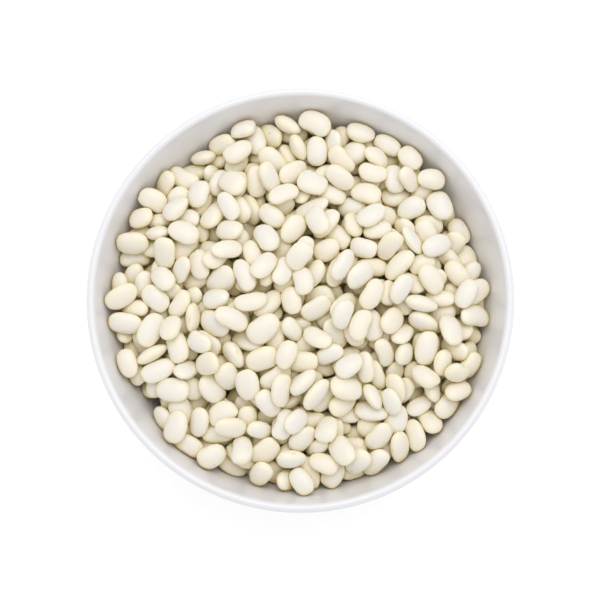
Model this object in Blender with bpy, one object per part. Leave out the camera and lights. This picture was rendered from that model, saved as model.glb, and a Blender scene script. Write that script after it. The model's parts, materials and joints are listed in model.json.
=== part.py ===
"""A round glazed bowl heaped with dried white beans, in metres, standing on z = 0 with its axis on Z.

Two solids: the bowl, a turned profile on a foot ring, and the heap of beans, one body that fills the
bowl's inside and ends in a dome with a relief of beans. A small gap keeps the two apart.
"""

import math

import bmesh
import bpy
import numpy as np

# Bowl
RIM_RADIUS = 0.078
BOWL_HEIGHT = 0.064
LIP_THICKNESS = 0.0034
WALL_THICKNESS_AT_FOOT = 0.0046
RIM_LEAN = math.radians(18)  # the wall's lean from vertical, just under the lip
FLOOR_HEIGHT = 0.007
FLOOR_REACH = 0.056  # how far out the curve of the inside keeps the floor's level
WALL_REACH = 0.027  # how far down it keeps the rim's lean
FOOT_RADIUS = 0.0365
FOOT_WIDTH = 0.0042
FOOT_ROUNDING = 0.0006
RECESS_HEIGHT = 0.003  # the underside inside the foot ring
BOWL_SEGMENTS = 64
INSIDE_STEPS = 10
LIP_STEPS = 8
OUTSIDE_STEPS = 8
FOOT_CORNER_STEPS = 2

# Beans
BEAN_LENGTH = 0.0120
BEAN_WIDTH = 0.0081
BEAN_THICKNESS = 0.0055
SIZE_SPREAD = 0.07

# Heap
FILL_DEPTH = 0.0120  # the heap's edge below the top of the lip
CROWN_RISE = 0.0145  # the dome's top above its edge
CROWN_ROUNDING = 2.6  # exponent of the dome's profile
EDGE_SWELL = ((0.0014, 1, 85), (0.0006, 2, 20), (0.0006, 3, 75))  # size, waves round, peak in degrees
RELIEF_DEPTH = 0.0034  # deepest dip between beans
BEAN_LIFT = 0.0022  # the most that a bean stands proud of the dome, or lies below it
BEAN_SPACING = 0.0076
HEAP_RINGS = 26
HEAP_SIDES = 6
HEAP_WALL_STEPS = 4
HEAP_WALL_CROWDING = 1.5  # above 1, the rings down the wall crowd towards the floor, where it curves most
GAP = 0.0005  # between the heap and the bowl
SEED = 11

# Finishes
GLAZE_COLOUR = (0.84, 0.84, 0.85)
GLAZE_ROUGHNESS = 0.12
SEED_COAT_COLOUR = (0.86, 0.78, 0.60)
SEED_COAT_ROUGHNESS = 0.5

CREASE_ANGLE = math.radians(50)
MERGE_DISTANCE = 1e-6
CURVE_STEP = 1e-4  # either side of a place on the inner curve, to find its direction
GOLDEN_ANGLE = math.pi * (3 - math.sqrt(5))
CURVE_SAMPLES = 400
LIP_CENTRE = np.array([RIM_RADIUS - LIP_THICKNESS / 2, BOWL_HEIGHT - LIP_THICKNESS / 2])
WALL_OUTWARD = np.array([math.cos(RIM_LEAN), -math.sin(RIM_LEAN)])  # its normal under the lip


def inner_curve(t):
    """(radius, height) on the bowl's inside, a cubic from the floor's middle at t 0 to the lip at t 1."""
    end = LIP_CENTRE - WALL_OUTWARD * LIP_THICKNESS / 2
    down = np.array([-math.tan(RIM_LEAN), -1]) * WALL_REACH
    points = ((0, FLOOR_HEIGHT), (FLOOR_REACH, FLOOR_HEIGHT), end + down, end)
    weights = ((1 - t) ** 3, 3 * t * (1 - t) ** 2, 3 * t * t * (1 - t), t**3)
    return sum(weight * np.array(point) for weight, point in zip(weights, points))


def outer_curve(t):
    """The same place on the bowl's outside, a wall thickness away along the normal."""
    along = inner_curve(t + CURVE_STEP) - inner_curve(t - CURVE_STEP)
    outward = np.array([along[1], -along[0]]) / np.linalg.norm(along)
    thickness = WALL_THICKNESS_AT_FOOT + (LIP_THICKNESS - WALL_THICKNESS_AT_FOOT) * t
    return inner_curve(t) + outward * thickness


INSIDE = np.array([inner_curve(t) for t in np.linspace(0, 1, CURVE_SAMPLES)])


def wall_radius(height):
    """The bowl's inside radius at a height above its floor."""
    return np.interp(height, INSIDE[:, 1], INSIDE[:, 0])


def arc(centre, radius, start, end, steps):
    """Points of an arc, its two ends included."""
    angles = np.linspace(start, end, steps + 1)
    return [(centre[0] + radius * math.cos(a), centre[1] + radius * math.sin(a)) for a in angles]


def outside_points():
    """The outside, from under the lip down to the foot ring."""
    samples = [outer_curve(t) for t in np.linspace(1, 0, CURVE_SAMPLES)]
    clear_of_foot = [point for point in samples if point[0] > FOOT_RADIUS]
    picks = np.linspace(0, len(clear_of_foot) - 1, OUTSIDE_STEPS + 1).astype(int)
    return [clear_of_foot[i] for i in picks]


def foot_points():
    """The foot ring's section, from its outer edge round the standing face to the recess inside it."""
    inner_radius = FOOT_RADIUS - FOOT_WIDTH
    outer_corner = (FOOT_RADIUS - FOOT_ROUNDING, FOOT_ROUNDING)
    inner_corner = (inner_radius + FOOT_ROUNDING, FOOT_ROUNDING)
    points = arc(outer_corner, FOOT_ROUNDING, 0, -math.pi / 2, FOOT_CORNER_STEPS)
    points += arc(inner_corner, FOOT_ROUNDING, -math.pi / 2, -math.pi, FOOT_CORNER_STEPS)
    return points + [(inner_radius, RECESS_HEIGHT), (0, RECESS_HEIGHT)]


def bowl_profile():
    """The bowl's half section, from the floor's middle over the lip to the underside's middle."""
    inside = [inner_curve(t) for t in np.linspace(0, 1, INSIDE_STEPS + 1)]
    lip = arc(LIP_CENTRE, LIP_THICKNESS / 2, math.pi - RIM_LEAN, -RIM_LEAN, LIP_STEPS)
    return inside[:-1] + lip + outside_points()[1:] + foot_points()


def make_bowl():
    """Turns the profile round Z."""
    bm = bmesh.new()
    verts = [bm.verts.new((radius, 0, height)) for radius, height in bowl_profile()]
    edges = [bm.edges.new(pair) for pair in zip(verts, verts[1:])]
    bmesh.ops.spin(
        bm,
        geom=verts + edges,
        cent=(0, 0, 0),
        axis=(0, 0, 1),
        angle=math.tau,
        steps=BOWL_SEGMENTS,
        use_merge=True,
    )
    bmesh.ops.remove_doubles(bm, verts=bm.verts, dist=MERGE_DISTANCE)
    return bm


def edge_height(angle):
    """Height of the heap's edge on the bowl's wall, which swells and dips a little round the bowl."""
    swell = sum(size * np.cos(waves * (angle - math.radians(peak))) for size, waves, peak in EDGE_SWELL)
    return BOWL_HEIGHT - FILL_DEPTH + swell


def dome_height(x, y):
    """The heap's smooth surface, tangent to the tops of its upper beans."""
    edge = edge_height(np.arctan2(y, x))
    share = np.clip(np.hypot(x, y) / wall_radius(edge), 0, 1)
    crown = BOWL_HEIGHT - FILL_DEPTH + CROWN_RISE
    return edge + (crown - edge) * (1 - share**CROWN_ROUNDING)


def surface_beans():
    """The upper beans on a sunflower spiral: x, y, top, yaw, and half the length, width and thickness."""
    rng = np.random.default_rng(SEED)
    reach = wall_radius(BOWL_HEIGHT - FILL_DEPTH) - BEAN_WIDTH / 2
    count = int(math.pi * (reach / BEAN_SPACING) ** 2)
    radii = reach * np.sqrt((np.arange(count) + 0.5) / count)
    angles = GOLDEN_ANGLE * np.arange(count)
    x, y = radii * np.cos(angles), radii * np.sin(angles)
    tops = dome_height(x, y) + BEAN_LIFT * rng.uniform(-1, 1, count)
    yaws = rng.uniform(0, math.pi, count)
    sizes = 1 + SIZE_SPREAD * rng.standard_normal((count, 1))
    halves = sizes * [BEAN_LENGTH / 2, BEAN_WIDTH / 2, BEAN_THICKNESS / 2]
    return np.column_stack([x, y, tops, yaws, halves])


def heap_height(x, y, beans):
    """The top of the highest bean over each point, or the deepest dip where there is none."""
    best = dome_height(x, y) - RELIEF_DEPTH
    for bean_x, bean_y, top, yaw, half_length, half_width, half_thickness in beans:
        along = (x - bean_x) * math.cos(yaw) + (y - bean_y) * math.sin(yaw)
        across = (y - bean_y) * math.cos(yaw) - (x - bean_x) * math.sin(yaw)
        inside = 1 - (along / half_length) ** 2 - (across / half_width) ** 2
        height = top - half_thickness * (1 - np.sqrt(np.maximum(inside, 0)))
        best = np.where(inside > 0, np.maximum(best, height), best)
    return best


def heap_top_rings():
    """Rings of points of the heap's top, 6 on the first, 12 on the next and so on, out to the wall."""
    beans = surface_beans()
    rings = []
    for ring in range(1, HEAP_RINGS + 1):
        count = HEAP_SIDES * ring
        angle = np.arange(count) * math.tau / count
        edge = edge_height(angle)
        radius = ring / HEAP_RINGS * (wall_radius(edge) - GAP)
        x, y = radius * np.cos(angle), radius * np.sin(angle)
        height = edge if ring == HEAP_RINGS else heap_height(x, y, beans)
        rings.append(np.column_stack([x, y, height]))
    return rings


def heap_wall_rings(edge_ring):
    """Rings of points down the bowl's wall, from the top's edge to the floor."""
    floor = FLOOR_HEIGHT + GAP
    angle = np.arctan2(edge_ring[:, 1], edge_ring[:, 0])
    rings = []
    for step in range(1, HEAP_WALL_STEPS + 1):
        share = (1 - step / HEAP_WALL_STEPS) ** HEAP_WALL_CROWDING
        height = floor + (edge_ring[:, 2] - floor) * share
        radius = wall_radius(height - GAP) - GAP
        rings.append(np.column_stack([radius * np.cos(angle), radius * np.sin(angle), height]))
    return rings


def join_growing_rings(bm, inner, outer):
    """Triangles between two rings of the top, where the outer one has one more point in each sector."""
    per_inner, per_outer = len(inner) // HEAP_SIDES, len(outer) // HEAP_SIDES
    for sector in range(HEAP_SIDES):
        for i in range(per_outer):
            first = outer[sector * per_outer + i]
            second = outer[(sector * per_outer + i + 1) % len(outer)]
            near = inner[(sector * per_inner + i) % len(inner)]
            bm.faces.new((near, first, second))
            if i < per_inner:
                bm.faces.new((near, second, inner[(sector * per_inner + i + 1) % len(inner)]))


def make_heap():
    """The heap's domed top, its side down the bowl's wall and its flat underside."""
    bm = bmesh.new()
    top_rings = heap_top_rings()
    top = [[bm.verts.new(point) for point in ring] for ring in top_rings]
    wall = [[bm.verts.new(point) for point in ring] for ring in heap_wall_rings(top_rings[-1])]
    middle = bm.verts.new((0, 0, heap_height(0, 0, surface_beans())))
    for i, corner in enumerate(top[0]):
        bm.faces.new((middle, corner, top[0][(i + 1) % HEAP_SIDES]))
    for inner, outer in zip(top, top[1:]):
        join_growing_rings(bm, inner, outer)
    for upper, lower in zip([top[-1]] + wall, wall):
        for i in range(len(upper)):
            j = (i + 1) % len(upper)
            bm.faces.new((upper[i], lower[i], lower[j], upper[j]))
    bm.faces.new(reversed(wall[-1]))
    return bm


def material(name, colour, roughness):
    made = bpy.data.materials.new(name)
    made.use_nodes = True
    shader = made.node_tree.nodes["Principled BSDF"]
    shader.inputs["Base Color"].default_value = (*colour, 1)
    shader.inputs["Roughness"].default_value = roughness
    shader.inputs["Metallic"].default_value = 0
    return made


def add_object(name, bm, finish):
    bmesh.ops.recalc_face_normals(bm, faces=bm.faces)
    mesh = bpy.data.meshes.new(name)
    bm.to_mesh(mesh)
    bm.free()
    mesh.materials.append(finish)
    mesh.shade_smooth()
    mesh.set_sharp_from_angle(angle=CREASE_ANGLE)
    made = bpy.data.objects.new(name, mesh)
    bpy.context.scene.collection.objects.link(made)


def main():
    for old in list(bpy.data.objects):
        bpy.data.objects.remove(old)
    add_object("bowl", make_bowl(), material("white_glaze", GLAZE_COLOUR, GLAZE_ROUGHNESS))
    add_object("bean_heap", make_heap(), material("dried_beans", SEED_COAT_COLOUR, SEED_COAT_ROUGHNESS))


main()
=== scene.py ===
"""A round white glazed bowl heaped with dried white beans, seen from almost straight above on a white floor.

The bowl is turned from the same named sizes as its solid. The heap's solid is replaced by a lower core and
several hundred loose beans of six kinds. They are poured over the core and settle in a rigid-body simulation.
"""

import json
import math
from collections import namedtuple

import bmesh
import bpy
import numpy as np
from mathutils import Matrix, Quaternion, Vector

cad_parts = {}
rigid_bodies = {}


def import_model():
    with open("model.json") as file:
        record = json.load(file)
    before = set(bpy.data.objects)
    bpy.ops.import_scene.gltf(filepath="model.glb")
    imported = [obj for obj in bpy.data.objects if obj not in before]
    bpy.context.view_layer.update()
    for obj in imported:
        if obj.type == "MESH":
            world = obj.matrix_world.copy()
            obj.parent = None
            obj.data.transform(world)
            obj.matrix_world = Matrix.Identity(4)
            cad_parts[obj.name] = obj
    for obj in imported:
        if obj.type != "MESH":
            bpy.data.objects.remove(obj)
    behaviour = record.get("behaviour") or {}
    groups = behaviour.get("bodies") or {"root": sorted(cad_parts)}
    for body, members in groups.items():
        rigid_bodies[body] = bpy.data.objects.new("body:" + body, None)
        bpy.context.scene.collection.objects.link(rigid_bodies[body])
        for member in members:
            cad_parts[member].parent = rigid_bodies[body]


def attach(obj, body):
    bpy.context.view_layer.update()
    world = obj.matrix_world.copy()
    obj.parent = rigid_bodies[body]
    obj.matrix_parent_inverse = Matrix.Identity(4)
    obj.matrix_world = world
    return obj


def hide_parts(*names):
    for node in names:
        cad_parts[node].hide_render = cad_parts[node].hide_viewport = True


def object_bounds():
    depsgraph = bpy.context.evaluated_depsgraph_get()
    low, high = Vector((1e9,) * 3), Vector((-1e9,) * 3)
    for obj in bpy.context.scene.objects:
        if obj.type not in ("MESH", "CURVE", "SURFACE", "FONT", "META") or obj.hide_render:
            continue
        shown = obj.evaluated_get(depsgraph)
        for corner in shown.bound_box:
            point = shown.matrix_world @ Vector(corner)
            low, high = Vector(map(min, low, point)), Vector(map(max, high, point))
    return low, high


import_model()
CAD_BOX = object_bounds()

MM = 0.001
UP = np.array([0, 0, 1])

# Bowl: the sizes of its solid
RIM_RADIUS = 78 * MM
BOWL_HEIGHT = 64 * MM
LIP_THICKNESS = 3.4 * MM
WALL_THICKNESS_AT_FOOT = 4.6 * MM
RIM_LEAN = math.radians(18)  # the wall's lean from vertical, just under the lip
FLOOR_HEIGHT = 7 * MM
FLOOR_REACH = 56 * MM  # how far out the curve of the inside keeps the floor's level
WALL_REACH = 27 * MM  # how far down it keeps the rim's lean
FOOT_RADIUS = 36.5 * MM
FOOT_WIDTH = 4.2 * MM
FOOT_ROUNDING = 0.6 * MM
RECESS_HEIGHT = 3 * MM  # the underside inside the foot ring
RECESS_ROUNDING = 1.6 * MM
FOOT_FILLET = 2.5 * MM  # the hollow curve of the glaze where the wall meets the foot
FILLET_CORNER = 0.6  # share of the fillet by which its corner lies below the wall's end
BARE_HEIGHT = 0.25 * MM  # the foot is wiped free of glaze up to here
BOWL_SEGMENTS = 192
INSIDE_STEPS = 40
LIP_STEPS = 16
OUTSIDE_STEPS = 36
CORNER_STEPS = 5
CURVE_SAMPLES = 400
CURVE_STEP = 1e-4  # either side of a place on the inner curve, to find its direction

# Heap: the smooth dome of its solid, near the tops of the upper beans
FILL_DEPTH = 12 * MM  # the heap's edge below the top of the lip
CROWN_RISE = 14.5 * MM  # the dome's top above its edge
CROWN_ROUNDING = 2.6  # exponent of the dome's profile
EDGE_SWELL = ((1.4 * MM, 1, 85), (0.6 * MM, 2, 20), (0.6 * MM, 3, 75))  # size, waves round, peak in degrees
CORE_DEPTH = 18.5 * MM  # the core's top below the heap's surface
CORE_GAP = 0.4 * MM  # between the core and the bowl
CORE_RINGS = 24
CORE_SEGMENTS = 96
CORE_WALL_CROWDING = 1.5  # above 1, the rings down the wall crowd towards the floor, where it curves most

LIP_CENTRE = np.array([RIM_RADIUS - LIP_THICKNESS / 2, BOWL_HEIGHT - LIP_THICKNESS / 2])
WALL_OUTWARD = np.array([math.cos(RIM_LEAN), -math.sin(RIM_LEAN)])


# ---------------------------------------------------------------- shapes of the bowl and the heap


def inner_curve(t):
    """(radius, height) on the bowl's inside, a cubic from the floor's middle at t 0 to the lip at t 1."""
    end = LIP_CENTRE - WALL_OUTWARD * LIP_THICKNESS / 2
    down = np.array([-math.tan(RIM_LEAN), -1]) * WALL_REACH
    points = ((0, FLOOR_HEIGHT), (FLOOR_REACH, FLOOR_HEIGHT), end + down, end)
    weights = ((1 - t) ** 3, 3 * t * (1 - t) ** 2, 3 * t * t * (1 - t), t**3)
    return sum(weight * np.array(point) for weight, point in zip(weights, points))


def outer_curve(t):
    """The same place on the bowl's outside, a wall thickness away along the normal."""
    along = inner_curve(t + CURVE_STEP) - inner_curve(t - CURVE_STEP)
    outward = np.array([along[1], -along[0]]) / np.linalg.norm(along)
    thickness = WALL_THICKNESS_AT_FOOT + (LIP_THICKNESS - WALL_THICKNESS_AT_FOOT) * t
    return inner_curve(t) + outward * thickness


INSIDE = np.array([inner_curve(t) for t in np.linspace(0, 1, CURVE_SAMPLES)])


def wall_radius(height):
    """The bowl's inside radius at a height above its floor."""
    return np.interp(height, INSIDE[:, 1], INSIDE[:, 0])


def edge_height(angle):
    """Height of the heap's edge on the bowl's wall."""
    swell = sum(size * np.cos(waves * (angle - math.radians(peak))) for size, waves, peak in EDGE_SWELL)
    return BOWL_HEIGHT - FILL_DEPTH + swell


def dome_height(radius, angle):
    """Height of the heap's smooth surface."""
    edge = edge_height(angle)
    share = np.clip(radius / wall_radius(edge), 0, 1)
    crown = BOWL_HEIGHT - FILL_DEPTH + CROWN_RISE
    return edge + (crown - edge) * (1 - share**CROWN_ROUNDING)


def arc(centre, radius, start, end, steps):
    """Points of an arc, its two ends included."""
    angles = np.linspace(start, end, steps + 1)
    return [np.array([centre[0] + radius * math.cos(a), centre[1] + radius * math.sin(a)]) for a in angles]


def outside_points():
    """The outside, from under the lip down to the fillet above the foot."""
    samples = [outer_curve(t) for t in np.linspace(1, 0, CURVE_SAMPLES)]
    clear_of_foot = [point for point in samples if point[0] > FOOT_RADIUS + FOOT_FILLET]
    picks = np.linspace(0, len(clear_of_foot) - 1, OUTSIDE_STEPS + 1).astype(int)
    return [clear_of_foot[i] for i in picks]


def fillet_points(wall_end):
    """A hollow curve from the wall's end to the foot's upright side."""
    corner = np.array([FOOT_RADIUS, wall_end[1] - FILLET_CORNER * FOOT_FILLET])
    foot_start = corner - [0, FOOT_FILLET]
    steps = np.linspace(0, 1, CORNER_STEPS + 1)[1:]
    return [(1 - t) ** 2 * wall_end + 2 * t * (1 - t) * corner + t * t * foot_start for t in steps]


def foot_points():
    """The foot ring's section, from its outer side round the standing face to the recess's middle."""
    inner_radius = FOOT_RADIUS - FOOT_WIDTH
    outer_corner = (FOOT_RADIUS - FOOT_ROUNDING, FOOT_ROUNDING)
    inner_corner = (inner_radius + FOOT_ROUNDING, FOOT_ROUNDING)
    recess_corner = (inner_radius - RECESS_ROUNDING, RECESS_HEIGHT - RECESS_ROUNDING)
    points = arc(outer_corner, FOOT_ROUNDING, 0, -math.pi / 2, CORNER_STEPS)
    points += arc(inner_corner, FOOT_ROUNDING, -math.pi / 2, -math.pi, CORNER_STEPS)
    points += arc(recess_corner, RECESS_ROUNDING, 0, math.pi / 2, CORNER_STEPS)
    return points + [np.array([0, RECESS_HEIGHT])]


def bowl_profile():
    """The bowl's half section, from the floor's middle over the lip to the underside's middle."""
    inside = [inner_curve(t) for t in np.linspace(0, 1, INSIDE_STEPS + 1)]
    lip = arc(LIP_CENTRE, LIP_THICKNESS / 2, math.pi - RIM_LEAN, -RIM_LEAN, LIP_STEPS)
    outside = outside_points()
    return inside[:-1] + lip + outside[1:] + fillet_points(outside[-1]) + foot_points()


def turned(profile, segments):
    """(points, faces) of a profile turned round Z. It starts and ends on the axis."""
    angles = np.arange(segments) * math.tau / segments
    rings = [[(r * math.cos(a), r * math.sin(a), z) for a in angles] for r, z in profile[1:-1]]
    return closed_rings((0, 0, profile[0][1]), rings, (0, 0, profile[-1][1]))


def closed_rings(first, rings, last):
    """(points, faces) of a closed skin: a first point, rings of equally many points, and a last point."""
    count = len(rings[0])
    points = [first] + [point for ring in rings for point in ring] + [last]
    end = len(points) - 1
    faces = [(0, 1 + (i + 1) % count, 1 + i) for i in range(count)]
    for start in range(1, end - count, count):
        for i in range(count):
            j = (i + 1) % count
            faces.append((start + i, start + j, start + count + j, start + count + i))
    faces += [(end - count + i, end - count + (i + 1) % count, end) for i in range(count)]
    return points, faces


def add_mesh(name, points, faces, materials):
    """A smooth-shaded object of these points and faces, linked into the scene."""
    mesh = bpy.data.meshes.new(name)
    mesh.from_pydata(points, [], faces)
    for material in materials:
        mesh.materials.append(material)
    mesh.shade_smooth()
    piece = bpy.data.objects.new(name, mesh)
    bpy.context.scene.collection.objects.link(piece)
    return piece


def face_outward(piece):
    """Turns the faces of a closed mesh outwards."""
    bm = bmesh.new()
    bm.from_mesh(piece.data)
    bmesh.ops.recalc_face_normals(bm, faces=bm.faces)
    bm.to_mesh(piece.data)
    bm.free()


def dome_rings(depth, rings, segments, wall_gap):
    """Rings of the heap's surface lowered by a depth, out to the bowl's wall."""
    angle = np.arange(segments) * math.tau / segments
    edge = edge_height(angle)
    reach = wall_radius(edge - depth) - wall_gap
    found = []
    for ring in range(1, rings + 1):
        share = ring / rings
        height = dome_height(share * wall_radius(edge), angle) - depth
        found.append(np.column_stack([share * reach * np.cos(angle), share * reach * np.sin(angle), height]))
    return found


# ---------------------------------------------------------------- beans

BEAN_HALF = np.array([5.8, 3.95, 2.6]) * MM  # half the length, width and thickness of a usual bean
SIZE_SPREAD = 0.055  # share by which beans differ as a whole
PROPORTION_SPREAD = np.array([0.05, 0.05, 0.07])  # and in each of the three

# Each kind's share of the beans, its half sizes, how blunt its ends are, how far it bends, how deep the notch
# at its belly is, how much fatter one end is, and whether its coat has come loose on one side
Kind = namedtuple("Kind", "share size blunt bend notch egg loose_coat")
KINDS = {
    "oval_beans": Kind(0.29, (1.00, 1.00, 1.00), 2.35, 0.04, 0.00, 0.02, False),
    "curved_beans": Kind(0.16, (1.03, 0.97, 0.98), 2.45, 0.12, 0.06, 0.05, False),
    "blunt_beans": Kind(0.16, (0.96, 1.04, 1.00), 2.60, 0.05, 0.02, 0.04, False),
    "egg_beans": Kind(0.20, (0.97, 1.01, 1.04), 2.30, 0.05, 0.01, 0.10, False),
    "slim_beans": Kind(0.15, (1.04, 0.92, 0.92), 2.30, 0.07, 0.02, 0.06, False),
    "flawed_beans": Kind(0.04, (1.02, 1.02, 0.98), 2.30, 0.08, 0.04, 0.05, True),
}
BEAN_COUNT = 600
ALONG_STEPS = 22
ROUND_STEPS = 24
HULL_ALONG_STEPS = 8
HULL_ROUND_STEPS = 10
CROSS_SECTION = 2.1  # exponent of the rounded cross-section
EDGE_ON_TAPER = 2.0  # exponent of the outline seen edge-on
NOTCH_REACH = 0.38  # how far the notch reaches along the bean
BEND_CENTRE = 0.35  # share of its bend by which a bean is shifted, to stay centred
SEED = 12


def signed_power(value, exponent):
    """A power that keeps the value's sign."""
    return np.sign(value) * np.abs(value) ** exponent


def unit_bean(kind, along_steps, round_steps):
    """(points, faces) of a bean with half sizes of 1: length on X, its belly towards -Y, flat sides on Z."""
    around = np.arange(round_steps) * math.tau / round_steps
    rings = []
    for step in range(1, along_steps):
        tilt = math.pi * step / along_steps
        x = -signed_power(math.cos(tilt), 2 / kind.blunt)
        width = (1 - abs(x) ** kind.blunt) ** (1 / kind.blunt)
        thickness = (1 - abs(x) ** EDGE_ON_TAPER) ** (1 / EDGE_ON_TAPER)
        y = width * signed_power(np.cos(around), 2 / CROSS_SECTION)
        z = thickness * signed_power(np.sin(around), 2 / CROSS_SECTION)
        fatter = 1 + kind.egg * x
        belly = np.maximum(-np.cos(around), 0) ** 2 * math.exp(-((x / NOTCH_REACH) ** 2))
        y = y * fatter + 2 * kind.notch * belly
        y = y - kind.bend * (x * x - BEND_CENTRE)
        z = z * fatter
        rings.append(np.column_stack([np.full(round_steps, x), y, z]))
    tip_bend = kind.bend * (1 - BEND_CENTRE)
    return closed_rings((-1, -tip_bend, 0), rings, (1, -tip_bend, 0))


def first_turn(rng):
    """A bean's starting rotation: nearly flat or, for some, on edge, tipped a little and turned any way."""
    on_edge = Quaternion((1, 0, 0), math.pi / 2 if rng.random() < ON_EDGE_SHARE else 0)
    yaw = Quaternion((0, 0, 1), rng.uniform(0, math.tau))
    tip_axis = rng.uniform(0, math.tau)
    tip = Quaternion((math.cos(tip_axis), math.sin(tip_axis), 0), POUR_TIP * rng.standard_normal())
    return tip @ yaw @ on_edge


def draw_beans():
    """The beans in the order that they are poured: (kind's name, half sizes in metres, first rotation)."""
    rng = np.random.default_rng(SEED)
    names = list(KINDS)
    shares = [kind.share for kind in KINDS.values()]
    beans = []
    for _ in range(BEAN_COUNT):
        name = names[rng.choice(len(names), p=shares)]
        overall = 1 + SIZE_SPREAD * rng.standard_normal()
        proportions = 1 + PROPORTION_SPREAD * rng.standard_normal(3)
        half = BEAN_HALF * KINDS[name].size * overall * proportions
        beans.append((name, half, first_turn(rng)))
    return beans


# ---------------------------------------------------------------- pouring

# The simulation runs in centimetres, because small numbers upset it. The POUR lengths are in them too.
SIM_SCALE = 100
SIM_GRAVITY = 25  # far below the real 981, so that the beans land softly
SIM_FRAMES = 50
SIM_SUBSTEPS = 10
SIM_SOLVER_STEPS = 20
SIM_MARGIN = 0.01
BEAN_FRICTION = 0.5
SLIDING_DAMPING = 0.15
TURNING_DAMPING = 0.97  # holds the beans near the way round that they start
POUR_TIP = math.radians(9)
ON_EDGE_SHARE = 0.11
POUR_SPACING = 1.28  # between the starting places, which a bean turned any way just fills
POUR_ROW_RATIO = math.sqrt(0.75)  # of their triangular grid: the step between rows over the spacing
POUR_COLUMNS = range(-7, 8)
POUR_ROWS = range(-8, 9)
POUR_LAYER = 0.72
POUR_HEADROOM = 0.4
POUR_EDGE = 0.75  # the starting places keep this far off the wall
POUR_NARROWING = 0.25  # each layer's disc is smaller by this
CONTAINER_RINGS = 12
CONTAINER_SEGMENTS = 48
CONTAINER_WALL_STEPS = 7
TUBE_HEIGHT = 150 * MM  # the container's wall goes on upwards past the lip by this


def container():
    """What the beans fall on: the core's top and the bowl's wall, carried on upwards."""
    rings = dome_rings(CORE_DEPTH, CONTAINER_RINGS, CONTAINER_SEGMENTS, 0)
    base = rings[-1]
    angle = np.arctan2(base[:, 1], base[:, 0])
    for share in np.linspace(0, 1, CONTAINER_WALL_STEPS + 1)[1:]:
        height = base[:, 2] + (INSIDE[-1, 1] - base[:, 2]) * share
        radius = wall_radius(height)
        rings.append(np.column_stack([radius * np.cos(angle), radius * np.sin(angle), height]))
    rings.append(rings[-1] + UP * TUBE_HEIGHT)
    middle = (0, 0, dome_height(0, 0) - CORE_DEPTH)
    points, faces = closed_rings(middle, rings, (0, 0, rings[-1][0][2]))
    return np.array(points) * SIM_SCALE, faces[: -len(base)]


def pour_places():
    """Starting places over the core, in layers of a triangular grid, in simulation units."""
    rng = np.random.default_rng(SEED)
    places = []
    layer = 0
    while len(places) < BEAN_COUNT:
        shift = (layer % 2) * POUR_SPACING / 2
        found = []
        reach = wall_radius(BOWL_HEIGHT - FILL_DEPTH) * SIM_SCALE - POUR_EDGE - layer * POUR_NARROWING
        for column in POUR_COLUMNS:
            for row in POUR_ROWS:
                x = (column + (row % 2) / 2) * POUR_SPACING + shift
                y = row * POUR_SPACING * POUR_ROW_RATIO + shift / 2
                radius = math.hypot(x, y)
                if radius < reach:
                    floor = dome_height(radius / SIM_SCALE, math.atan2(y, x)) - CORE_DEPTH
                    found.append((x, y, floor * SIM_SCALE + POUR_HEADROOM + layer * POUR_LAYER))
        places += [found[i] for i in rng.permutation(len(found))]
        layer += 1
    return places[:BEAN_COUNT]


def make_rigid(pieces, body_type, shape):
    """Makes these pieces rigid bodies of one type, which collide with one sort of shape."""
    for piece in bpy.context.view_layer.objects:
        piece.select_set(piece in pieces)
    bpy.context.view_layer.objects.active = pieces[0]
    bpy.ops.rigidbody.objects_add(type=body_type)
    for piece in pieces:
        body = piece.rigid_body
        body.collision_shape = shape
        body.friction = BEAN_FRICTION
        body.restitution = 0
        body.use_margin = True
        body.collision_margin = SIM_MARGIN
        body.linear_damping = SLIDING_DAMPING
        body.angular_damping = TURNING_DAMPING


def hull_meshes():
    """A plain mesh of each kind, whose hull stands for its beans while they fall."""
    hulls = {}
    for name, kind in KINDS.items():
        points, _ = unit_bean(kind, HULL_ALONG_STEPS, HULL_ROUND_STEPS)
        hulls[name] = bpy.data.meshes.new(name + "_hull")
        hulls[name].from_pydata(points, [], [])
    return hulls


def falling_bodies(beans, hulls):
    """An object for each bean at its starting place."""
    bodies = []
    for (name, half, turn), place in zip(beans, pour_places()):
        body = bpy.data.objects.new("poured", hulls[name])
        body.rotation_mode = "QUATERNION"
        body.scale = half * SIM_SCALE
        body.location = place
        body.rotation_quaternion = turn
        bpy.context.scene.collection.objects.link(body)
        bodies.append(body)
    return bodies


def settled(beans):
    """Lets the beans fall and come to rest, and returns each one's 4 by 4 matrix in metres, with its size."""
    scene = bpy.context.scene
    hulls = hull_meshes()
    bodies = falling_bodies(beans, hulls)
    walls = add_mesh("container", *container(), [])
    frames = SIM_FRAMES
    bpy.ops.rigidbody.world_add()
    world = scene.rigidbody_world
    world.substeps_per_frame = SIM_SUBSTEPS
    world.solver_iterations = SIM_SOLVER_STEPS
    world.point_cache.frame_end = frames
    earth_gravity = scene.gravity.copy()
    scene.gravity = (0, 0, -SIM_GRAVITY)
    make_rigid([walls], "PASSIVE", "MESH")
    make_rigid(bodies, "ACTIVE", "CONVEX_HULL")
    for frame_number in range(1, frames + 1):
        scene.frame_set(frame_number)
    shrink = np.diag([1 / SIM_SCALE] * 3 + [1])
    matrices = [shrink @ np.array(body.matrix_world) for body in bodies]
    bpy.ops.rigidbody.world_remove()
    used_meshes = [walls.data, *hulls.values()]
    for body in bodies + [walls]:
        bpy.data.objects.remove(body)
    for mesh in used_meshes:
        bpy.data.meshes.remove(mesh)
    scene.gravity = earth_gravity
    scene.frame_set(1)
    return matrices


# ---------------------------------------------------------------- joined meshes of beans

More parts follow.
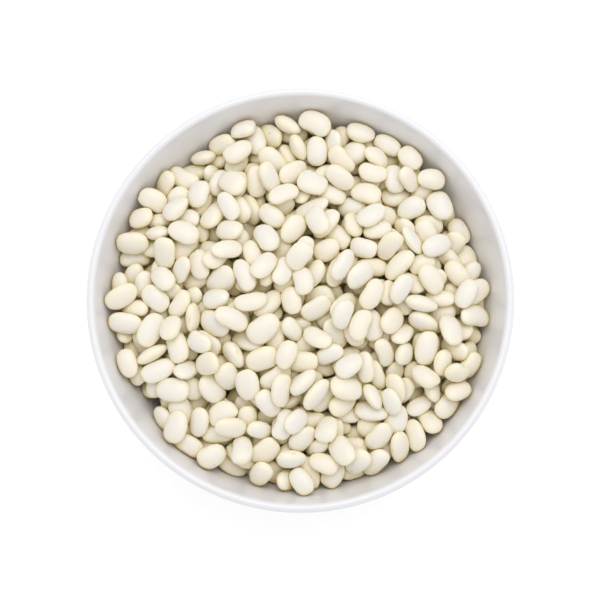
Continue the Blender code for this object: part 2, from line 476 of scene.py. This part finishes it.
SWELL_COUNT = 3
SWELL_WAVES = 1.6  # how fast a swell rises and falls over the bean
UNEVENNESS = 0.018  # each swell's height, as a share of the bean's half size
LOOSE_COAT_STEP = 0.055  # how far a loose coat stands up, as a share of the bean's half size
LOOSE_COAT_STEP_WIDTH = 0.03
LOOSE_COAT_EDGE = (0.1, 0.5)  # how far its edge lies from the bean's middle


def bean_transforms(beans, matrices):
    """The beans that lie inside the solid's box, by kind: {name: [(matrix, tint), ...]}."""
    rng = np.random.default_rng(SEED + 1)
    top = CAD_BOX[1][2]
    by_kind = {name: [] for name in KINDS}
    for (name, _, _), matrix in zip(beans, matrices):
        tint = rng.random()
        highest = matrix[2, 3] + np.linalg.norm(matrix[2, :3])  # of the ellipsoid that the bean nearly is
        if highest < top:
            by_kind[name].append((matrix, tint))
    return by_kind


def roughen(points, kind, rng):
    """Makes one bean of a kind slightly uneven: long soft swells, and a step where a loose coat ends."""
    swell = np.ones(len(points))
    for _ in range(SWELL_COUNT):
        direction = rng.standard_normal(3)
        phase = rng.uniform(0, math.tau)
        swell += UNEVENNESS * np.sin(points @ direction * SWELL_WAVES + phase)
    if kind.loose_coat:
        direction = rng.standard_normal(3)
        direction /= np.linalg.norm(direction)
        across = points @ direction - rng.uniform(*LOOSE_COAT_EDGE)
        swell += LOOSE_COAT_STEP * (0.5 + 0.5 * np.tanh(across / LOOSE_COAT_STEP_WIDTH))
        swell -= LOOSE_COAT_STEP
    return points * swell[:, None]


def joined_beans(name, placed):
    """One mesh of all beans of a kind. Each point keeps its place on its bean, and each bean its tint."""
    kind = KINDS[name]
    rng = np.random.default_rng([SEED, len(name), len(placed)])
    unit_points, unit_faces = unit_bean(kind, ALONG_STEPS, ROUND_STEPS)
    unit_points = np.vstack(unit_points)
    points, faces, places, tints = [], [], [], []
    for number, (matrix, tint) in enumerate(placed):
        shaped = roughen(unit_points, kind, rng)
        points.append(shaped @ matrix[:3, :3].T + matrix[:3, 3])
        faces += [tuple(number * len(unit_points) + i for i in face) for face in unit_faces]
        places.append(unit_points)
        tints.append(np.full(len(unit_points), tint))
    piece = add_mesh(name, np.vstack(points), faces, [])
    place = piece.data.attributes.new("bean_place", "FLOAT_VECTOR", "POINT")
    place.data.foreach_set("vector", np.vstack(places).ravel())
    tint = piece.data.attributes.new("bean_tint", "FLOAT", "POINT")
    tint.data.foreach_set("value", np.concatenate(tints))
    face_outward(piece)
    return piece


def core_mesh():
    """The core under the beans: a smooth dome, its side down the bowl's wall, and a flat underside."""
    rings = dome_rings(CORE_DEPTH, CORE_RINGS, CORE_SEGMENTS, CORE_GAP)
    edge = rings[-1]
    angle = np.arctan2(edge[:, 1], edge[:, 0])
    floor = FLOOR_HEIGHT + CORE_GAP
    for share in np.linspace(1, 0, CORE_RINGS)[1:]:
        height = floor + (edge[:, 2] - floor) * share**CORE_WALL_CROWDING
        radius = wall_radius(height - CORE_GAP) - CORE_GAP
        rings.append(np.column_stack([radius * np.cos(angle), radius * np.sin(angle), height]))
    return closed_rings((0, 0, dome_height(0, 0) - CORE_DEPTH), rings, (0, 0, floor))


# ---------------------------------------------------------------- materials


MIX_FACTOR, MIX_FIRST, MIX_SECOND = 0, 6, 7  # the mix node's inputs for colours
MIX_RESULT = 2


class Nodes:
    """Short ways to build a material's nodes."""

    def __init__(self, name):
        self.material = bpy.data.materials.new(name)
        self.material.use_nodes = True
        self.tree = self.material.node_tree
        self.shader = self.tree.nodes["Principled BSDF"]

    def set(self, values):
        for name, value in values.items():
            self.shader.inputs[name].default_value = value

    def put(self, source, socket):
        """Links an output to a socket, or sets the socket to a plain value."""
        if isinstance(source, bpy.types.NodeSocket):
            self.tree.links.new(source, socket)
        else:
            socket.default_value = source

    def attribute(self, name, output):
        node = self.tree.nodes.new("ShaderNodeAttribute")
        node.attribute_name = name
        return node.outputs[output]

    def position(self):
        """The place in metres."""
        return self.tree.nodes.new("ShaderNodeTexCoord").outputs["Object"]

    def facing(self):
        """The direction that the surface faces."""
        return self.tree.nodes.new("ShaderNodeTexCoord").outputs["Normal"]

    def parts(self, vector):
        """The three numbers of a vector."""
        node = self.tree.nodes.new("ShaderNodeSeparateXYZ")
        self.put(vector, node.inputs[0])
        return node.outputs

    def length(self, vector):
        node = self.tree.nodes.new("ShaderNodeVectorMath")
        node.operation = "LENGTH"
        self.put(vector, node.inputs[0])
        return node.outputs["Value"]

    def openness(self, reach, rays=8):
        """1 where the surface is open to the air, down to 0 where others close it in within the reach."""
        node = self.tree.nodes.new("ShaderNodeAmbientOcclusion")
        node.samples = rays
        node.inputs["Distance"].default_value = reach
        return node.outputs["AO"]

    def math(self, operation, *values):
        node = self.tree.nodes.new("ShaderNodeMath")
        node.operation = operation
        for value, socket in zip(values, node.inputs):
            self.put(value, socket)
        return node.outputs[0]

    def noise(self, vector, scale, detail=2.0, roughness=0.5):
        node = self.tree.nodes.new("ShaderNodeTexNoise")
        self.put(vector, node.inputs["Vector"])
        node.inputs["Scale"].default_value = scale
        node.inputs["Detail"].default_value = detail
        node.inputs["Roughness"].default_value = roughness
        return node.outputs["Fac"]

    def nearest_cell(self, vector, scale):
        """Distance to the nearest of scattered points, in cells."""
        node = self.tree.nodes.new("ShaderNodeTexVoronoi")
        self.put(vector, node.inputs["Vector"])
        node.inputs["Scale"].default_value = scale
        return node.outputs["Distance"]

    def smooth(self, value, low, high, to_low=0.0, to_high=1.0):
        """Goes smoothly from to_low to to_high while the value goes from low to high."""
        node = self.tree.nodes.new("ShaderNodeMapRange")
        node.interpolation_type = "SMOOTHSTEP"
        for source, socket in zip((value, low, high, to_low, to_high), node.inputs):
            self.put(source, socket)
        return node.outputs[0]

    def mix(self, factor, first, second):
        node = self.tree.nodes.new("ShaderNodeMix")
        node.data_type = "RGBA"
        self.put(factor, node.inputs[MIX_FACTOR])
        self.put(first, node.inputs[MIX_FIRST])
        self.put(second, node.inputs[MIX_SECOND])
        return node.outputs[MIX_RESULT]

    def bump(self, height, distance, strength):
        node = self.tree.nodes.new("ShaderNodeBump")
        node.inputs["Strength"].default_value = strength
        node.inputs["Distance"].default_value = distance
        self.put(height, node.inputs["Height"])
        self.put(node.outputs[0], self.shader.inputs["Normal"])


# Pairs of colours are the two ends of a mix. Pairs of numbers are the ends of the value that drives one.
GLAZE = ((0.785, 0.78, 0.80, 1), (0.805, 0.80, 0.82, 1))
# painted shade: the glaze greyer where it faces down, away from the light
GLAZE_PAINTED_SHADE = (0.66, 0.655, 0.665, 1)
GLAZE_SHADE_FACING = (-0.3, 0.1)  # the Z of the surface's normal where the glaze takes its painted shade and where it is white
BARE_CERAMIC = ((0.62, 0.58, 0.52, 1), (0.78, 0.75, 0.69, 1))
COAT_ENDS = ((0.885, 0.838, 0.715, 1), (0.90, 0.828, 0.64, 1))
COAT_SIDES = ((0.835, 0.808, 0.745, 1), (0.868, 0.81, 0.68, 1))
COAT_ENDS_ALONG = (0.45, 1.0)  # from the bean's middle to its tips
COAT_SIDES_FLAT = (0.9, 0.15)  # from its flat sides to the rim between them
COAT_MOTTLE = (0.80, 0.74, 0.60, 1)
MOTTLE_RANGE = (0.45, 0.75)
MOTTLE_DEPTH = 0.15
EYE_RING = (0.74, 0.66, 0.48, 1)
EYE_MIDDLE = (0.84, 0.79, 0.66, 1)
EYE_RING_EDGE = (1.35, 1.05)
EYE_MIDDLE_EDGE = (0.85, 0.6)
EYE_BELLY = (-0.80, -0.92)  # keeps the eye to the side that it is on
EYE_SCALES = (7, 9)  # the eye is a seventh of the bean's length, and as wide as a ninth of its thickness
# Painted shade between the beans: a warm tint where others close a bean in, and brown deep between them
PAINTED_WARM_SHADE = (0.97, 0.87, 0.57, 1)
WARM_SHADE_OPENNESS = (0.0, 0.6)
PAINTED_DEEP_SHADE = (0.62, 0.45, 0.10, 1)
DEEP_SHADE_OPENNESS = (-0.12, 0.13)
GAP_SHADE_REACH = 12 * MM  # how near others must be to paint shade on a bean
WALL_SHADE = 0.2  # painted shade of the bowl's wall: how much more closed in the beans by it count as
WALL_SHADE_REACH = (78 * MM, 90 * MM)  # from the foot's middle to where that painted shade starts and where it is full
SPECK = (0.36, 0.26, 0.14, 1)
SPECK_CELLS = 70  # per metre: about one dark speck in every cell of 14 mm
SPECK_SIZE = (0.035, 0.015)  # a speck's edge and its full depth, in cells from its middle
SPECK_DEPTH = 0.7
# The core's colours: dark brown, painted shade deep in the heap
CORE_PAINTED_SHADE = ((0.42, 0.33, 0.15, 1), (0.60, 0.49, 0.27, 1))
FLOOR = (0.95, 0.95, 0.95, 1)
FLOOR_GLOW = 0.25


def glaze_material():
    """Smooth white glaze: slightly cloudy and wavy, with painted shade where it faces down."""
    made = Nodes("white_glaze_painted_shade")
    cloud = made.noise(made.position(), scale=45, detail=3)
    # painted shade where the surface faces down
    upward = made.smooth(made.parts(made.facing())[2], *GLAZE_SHADE_FACING)
    colour = made.mix(upward, GLAZE_PAINTED_SHADE, made.mix(cloud, *GLAZE))
    made.put(colour, made.shader.inputs["Base Color"])
    made.set({"Roughness": 0.16, "IOR": 1.5})
    made.bump(made.noise(made.position(), scale=60, detail=1), distance=0.2 * MM, strength=0.15)
    return made.material


def bare_ceramic_material():
    """The wiped standing face of the foot: matt, warmer and finely gritty."""
    made = Nodes("bare_ceramic")
    grit = made.noise(made.position(), scale=2500, detail=4, roughness=0.7)
    made.put(made.mix(grit, *BARE_CERAMIC), made.shader.inputs["Base Color"])
    made.set({"Roughness": 0.85})
    made.bump(grit, distance=0.1 * MM, strength=0.5)
    return made.material


def with_eye(made, coat, along, side, flat):
    """The coat with the bean's eye, a pale oval in a darker ring on its belly."""
    belly = made.smooth(side, *EYE_BELLY)
    scaled = [made.math("MULTIPLY", place, scale) for place, scale in zip((along, flat), EYE_SCALES)]
    squares = [made.math("POWER", place, 2) for place in scaled]
    distance = made.math("SQRT", made.math("ADD", *squares))
    ring = made.math("MULTIPLY", made.smooth(distance, *EYE_RING_EDGE), belly)
    middle = made.math("MULTIPLY", made.smooth(distance, *EYE_MIDDLE_EDGE), belly)
    return made.mix(middle, made.mix(ring, coat, EYE_RING), EYE_MIDDLE)


def with_painted_gap_shade(made, coat):
    """The coat with painted shade: yellower where other beans are near, brown deep between them, and more so
    by the bowl's wall.
    """
    openness = made.openness(GAP_SHADE_REACH)
    # painted shade of the bowl's wall on the beans beside it
    wall_shade_share = made.smooth(made.length(made.position()), *WALL_SHADE_REACH, to_high=WALL_SHADE)
    clear = made.smooth(openness, *WARM_SHADE_OPENNESS)
    shallow = made.smooth(made.math("SUBTRACT", openness, wall_shade_share), *DEEP_SHADE_OPENNESS)
    return made.mix(shallow, PAINTED_DEEP_SHADE, made.mix(clear, PAINTED_WARM_SHADE, coat))


def bean_material():
    """A satin seed coat: near white on the flat sides and creamier at ends and edges, with a few specks, and
    painted shade where other beans close it in.
    """
    made = Nodes("bean_coat_and_painted_shade")
    along, side, flat = made.parts(made.attribute("bean_place", "Vector"))[:3]
    tint = made.attribute("bean_tint", "Fac")
    ends = made.smooth(made.math("ABSOLUTE", along), *COAT_ENDS_ALONG)
    rim = made.smooth(made.math("ABSOLUTE", flat), *COAT_SIDES_FLAT)
    warmth = made.math("MAXIMUM", ends, rim)
    coat = made.mix(warmth, made.mix(tint, *COAT_SIDES), made.mix(tint, *COAT_ENDS))
    mottle = made.noise(made.position(), scale=700, detail=3, roughness=0.6)
    coat = made.mix(made.smooth(mottle, *MOTTLE_RANGE, to_high=MOTTLE_DEPTH), coat, COAT_MOTTLE)
    coat = with_eye(made, coat, along, side, flat)
    # painted shade between the beans
    coat = with_painted_gap_shade(made, coat)
    to_speck = made.nearest_cell(made.position(), SPECK_CELLS)
    coat = made.mix(made.smooth(to_speck, *SPECK_SIZE, to_high=SPECK_DEPTH), coat, SPECK)
    made.put(coat, made.shader.inputs["Base Color"])
    made.set({"Roughness": 0.42, "Subsurface Weight": 0.5, "Subsurface Scale": 1.2 * MM})
    made.set({"Subsurface Radius": (1.0, 0.88, 0.55)})
    grain = made.noise(made.position(), scale=900, detail=3, roughness=0.55)
    made.bump(grain, distance=0.12 * MM, strength=0.12)
    return made.material


def core_shade_material():
    """The heap's depth, painted dark brown as the shade between the beans."""
    made = Nodes("heap_core")
    blotch = made.noise(made.position(), scale=220, detail=3)
    # painted shade: the core's dark brown
    made.put(made.mix(blotch, *CORE_PAINTED_SHADE), made.shader.inputs["Base Color"])
    made.set({"Roughness": 0.8})
    made.bump(blotch, distance=2 * MM, strength=0.6)
    return made.material


def floor_material():
    """Matt white with a faint glow of its own."""
    made = Nodes("studio_floor")
    made.set({"Base Color": FLOOR, "Roughness": 0.9})
    made.set({"Emission Color": (1, 1, 1, 1), "Emission Strength": FLOOR_GLOW})
    return made.material


# ---------------------------------------------------------------- the object's pieces


def keep(piece, node):
    """Puts a piece on the only body, in the place of a node, which it hides."""
    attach(piece, "root")
    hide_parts(node)


def make_bowl():
    """The turned bowl, with its standing face bare."""
    points, faces = turned(bowl_profile(), BOWL_SEGMENTS)
    bowl = add_mesh("glazed_bowl", points, faces, [glaze_material(), bare_ceramic_material()])
    face_outward(bowl)
    for face in bowl.data.polygons:
        face.material_index = int(face.center.z < BARE_HEIGHT)
    keep(bowl, "bowl")


def make_beans():
    """The settled beans, a piece for each kind, and the core under them."""
    coat = bean_material()
    beans = draw_beans()
    for name, placed in bean_transforms(beans, settled(beans)).items():
        piece = joined_beans(name, placed)
        piece.data.materials.append(coat)
        keep(piece, "bean_heap")
    points, faces = core_mesh()
    core = add_mesh("heap_core", points, faces, [core_shade_material()])
    face_outward(core)
    keep(core, "bean_heap")


# ---------------------------------------------------------------- studio

CAMERA_DISTANCE = 620 * MM
CAMERA_TILT = math.radians(7)
CAMERA_SIDE = math.radians(292)  # the side that the camera leans to, counted from +X towards +Y
PICTURE_WIDTH = 217.8 * MM  # what the frame takes in at the height of the rim
CAMERA_AIM = (0.3 * MM, -1.2 * MM, BOWL_HEIGHT)
SENSOR = 36
LIGHT_COLOUR = (1.0, 0.997, 1.005)
KEY_PLACE = (-0.06, 0.40, 0.95)  # metres
KEY_WIDTH = 0.75
KEY_POWER = 3.4  # watts
WORLD_AT_SIDES = 0.69
WORLD_ABOVE = 0.93
FLOOR_RADIUS = 6.0
FLOOR_SEGMENTS = 96
FLOOR_DROP = 0.05 * MM  # keeps the floor just clear of the foot


def make_camera():
    """A camera almost straight above, leaning a little to the front."""
    data = bpy.data.cameras.new("camera")
    data.sensor_width = SENSOR
    data.lens = SENSOR * CAMERA_DISTANCE / PICTURE_WIDTH
    camera = bpy.data.objects.new("camera", data)
    aim = np.array(CAMERA_AIM)
    away = np.array([math.cos(CAMERA_SIDE), math.sin(CAMERA_SIDE)]) * math.sin(CAMERA_TILT)
    camera.location = aim + CAMERA_DISTANCE * np.array([*away, math.cos(CAMERA_TILT)])
    bpy.context.scene.collection.objects.link(camera)
    point_at(camera, aim)
    bpy.context.scene.camera = camera


def point_at(thing, aim):
    """Turns a camera or a light to face a point, with +Y upwards in its picture."""
    direction = Vector(aim) - thing.location
    thing.rotation_euler = direction.to_track_quat("-Z", "Y").to_euler()


def make_key_light():
    """A large round softbox overhead, a little towards the back."""
    data = bpy.data.lights.new("key", "AREA")
    data.shape = "DISK"
    data.size = KEY_WIDTH
    data.energy = KEY_POWER
    data.color = LIGHT_COLOUR
    light = bpy.data.objects.new("key", data)
    light.location = KEY_PLACE
    light.visible_camera = False
    bpy.context.scene.collection.objects.link(light)
    point_at(light, (0, 0, BOWL_HEIGHT))


def make_world():
    """Soft white light from all round, brighter from above than from the sides."""
    world = bpy.data.worlds.new("studio")
    world.use_nodes = True
    tree = world.node_tree
    background = tree.nodes["Background"]
    background.inputs["Color"].default_value = (*LIGHT_COLOUR, 1)
    direction = tree.nodes.new("ShaderNodeTexCoord").outputs["Generated"]
    height = tree.nodes.new("ShaderNodeSeparateXYZ")
    tree.links.new(direction, height.inputs[0])
    ramp = tree.nodes.new("ShaderNodeMapRange")
    tree.links.new(height.outputs["Z"], ramp.inputs["Value"])
    ramp.inputs["To Min"].default_value = WORLD_AT_SIDES
    ramp.inputs["To Max"].default_value = WORLD_ABOVE
    tree.links.new(ramp.outputs[0], background.inputs["Strength"])
    bpy.context.scene.world = world


def make_floor():
    """A wide pale disc under the bowl."""
    bm = bmesh.new()
    bmesh.ops.create_circle(bm, cap_ends=True, radius=FLOOR_RADIUS, segments=FLOOR_SEGMENTS)
    mesh = bpy.data.meshes.new("floor")
    bm.to_mesh(mesh)
    bm.free()
    mesh.materials.append(floor_material())
    floor = bpy.data.objects.new("floor", mesh)
    floor.location.z = -FLOOR_DROP
    bpy.context.scene.collection.objects.link(floor)


make_bowl()
make_beans()
make_floor()
make_world()
make_key_light()
make_camera()
bpy.context.scene.view_settings.view_transform = "Standard"
